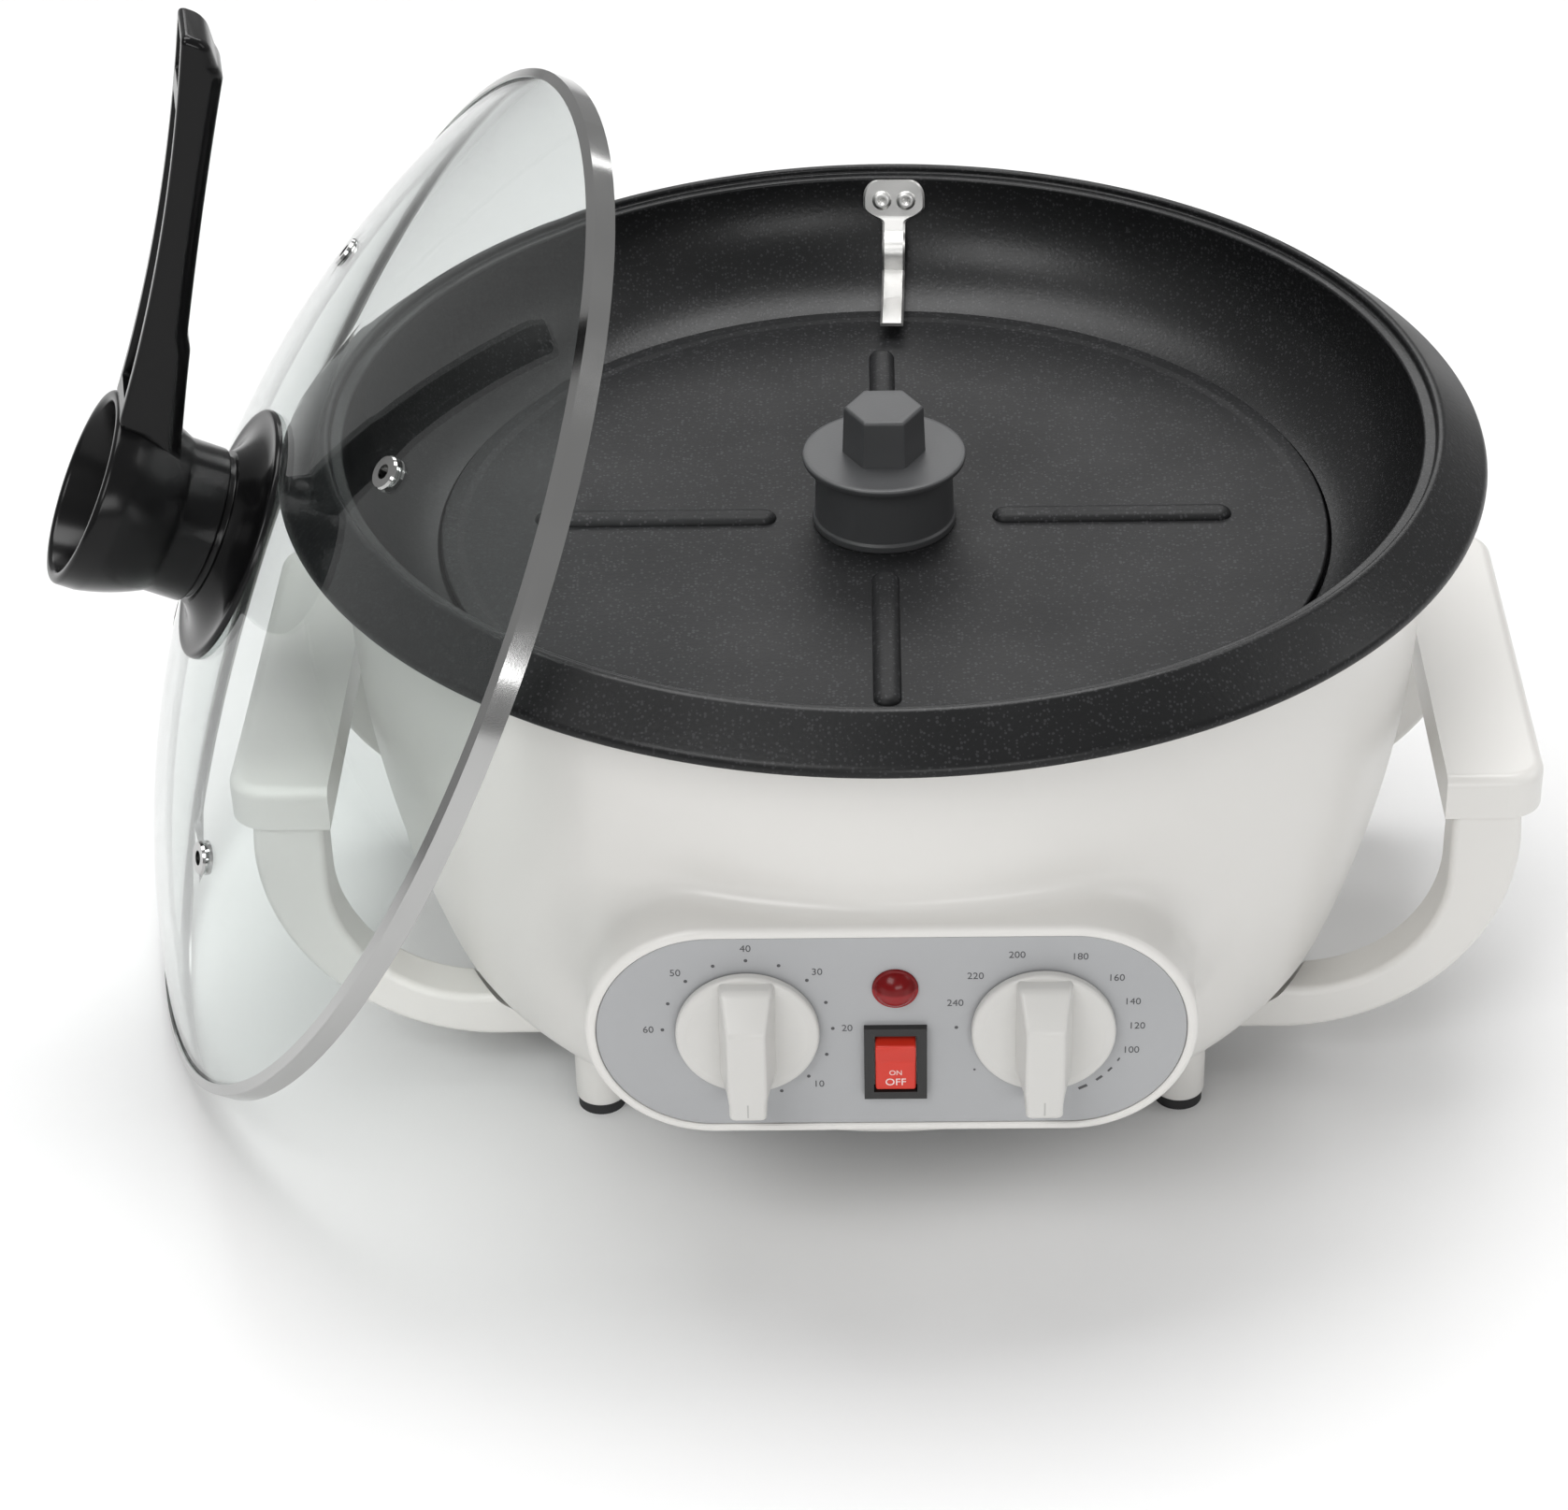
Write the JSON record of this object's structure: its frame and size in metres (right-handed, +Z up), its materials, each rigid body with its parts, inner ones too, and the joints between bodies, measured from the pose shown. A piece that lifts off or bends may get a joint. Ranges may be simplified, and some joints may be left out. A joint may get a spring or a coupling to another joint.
{
  "type": "coffee bean roaster",
  "caption": "Countertop coffee bean roaster: a round non-stick pan with a turning disc in a moulded bowl with handles, and a lift-off glass lid leaning at its side.",
  "frame": {"origin": "on the table under the middle of the pan, in the plane of the feet", "axes": "+Z up, -Y to the front with the controls, +X to the right as seen from the front"},
  "size_m": [0.3828, 0.3123, 0.2887],
  "materials": {
    "housing": "moulded warm white plastic with a soft gloss",
    "knob": "moulded white plastic with a soft gloss",
    "pan_coating": "black non-stick coating, satin, finely speckled",
    "disc_coating": "dark grey non-stick coating",
    "hub_plastic": "charcoal heat-proof plastic",
    "lid_handle_plastic": "polished black heat-proof plastic",
    "glass": "clear tempered glass",
    "band_steel": "polished stainless steel",
    "strip_steel": "bright stainless strip",
    "hardware_steel": "zinc plated steel",
    "sheet_steel": "galvanised sheet steel",
    "element_sheath": "dulled steel sheath",
    "motor_case": "dark enamelled steel",
    "bush_brass": "plain turned brass",
    "rubber": "black rubber",
    "fascia": "grey satin paint",
    "switch_plastic": "black plastic",
    "rocker_plastic": "red translucent plastic",
    "lamp_lens": "red translucent lens",
    "terminal_plastic": "cream moulded plastic"
  },
  "bodies": {
    "base": {"base_cover": "sheet_steel", "base_screws": "hardware_steel", "bush_nut": "hardware_steel", "control_fascia": "fascia", "cord_inlet": "rubber", "element_straps": "hardware_steel", "gearbox": "sheet_steel", "handle_screws": "hardware_steel", "heat_shield": "sheet_steel", "heating_element": "element_sheath", "housing": "housing", "lamp_holder": "switch_plastic", "lamp_lens": "lamp_lens", "left_handle": "housing", "motor_bracket": "sheet_steel", "motor_can": "motor_case", "motor_screws": "hardware_steel", "pan": "pan_coating", "pan_studs": "hardware_steel", "right_handle": "housing", "rubber_feet": "rubber", "scraper_strip": "strip_steel", "shaft_bush": "bush_brass", "shield_nuts": "hardware_steel", "strap_nuts": "hardware_steel", "strip_rivets": "strip_steel", "switch_body": "switch_plastic", "terminal_block": "terminal_plastic", "thermostat_body": "sheet_steel", "timer_mechanism": "sheet_steel"},
    "turntable": {"turntable": "disc_coating", "hub_column": "hub_plastic", "cap_nut": "hub_plastic", "drive_shaft": "hardware_steel", "coupling": "hardware_steel", "motor_output_shaft": "hardware_steel"},
    "timer": {"timer_knob": "knob", "timer_spindle": "hardware_steel"},
    "temperature": {"temperature_knob": "knob", "temperature_spindle": "hardware_steel"},
    "rocker": {"switch_rocker": "rocker_plastic"},
    "lid": {"lid_glass": "glass", "lid_band": "band_steel", "vent_eyelets": "band_steel", "lid_handle": "lid_handle_plastic", "lid_washer": "hardware_steel", "lid_screw": "hardware_steel"}
  },
  "joints": [
    {"name": "turntable_spin", "type": "hinge", "parent": "base", "child": "turntable", "pos_m": [0, 0, 0.137], "axis": [0, 0, 1], "continuous": true},
    {"name": "timer_turn", "type": "hinge", "parent": "base", "child": "timer", "pos_m": [-0.0342, -0.1455, 0.082], "axis": [0, -1, 0], "range_deg": [0, 270]},
    {"name": "temperature_turn", "type": "hinge", "parent": "base", "child": "temperature", "pos_m": [0.0362, -0.1455, 0.082], "axis": [0, -1, 0], "range_deg": [0, 270]},
    {"name": "switch_rock", "type": "hinge", "parent": "base", "child": "rocker", "pos_m": [0.001, -0.1425, 0.0724], "axis": [-1, 0, 0], "range_deg": [0, 16]},
    {"name": "lid_lift", "type": "slide", "parent": "base", "child": "lid", "axis": [-0.8746, -0.1577, 0.4585], "range_m": [0, 0.15]}
  ]
}
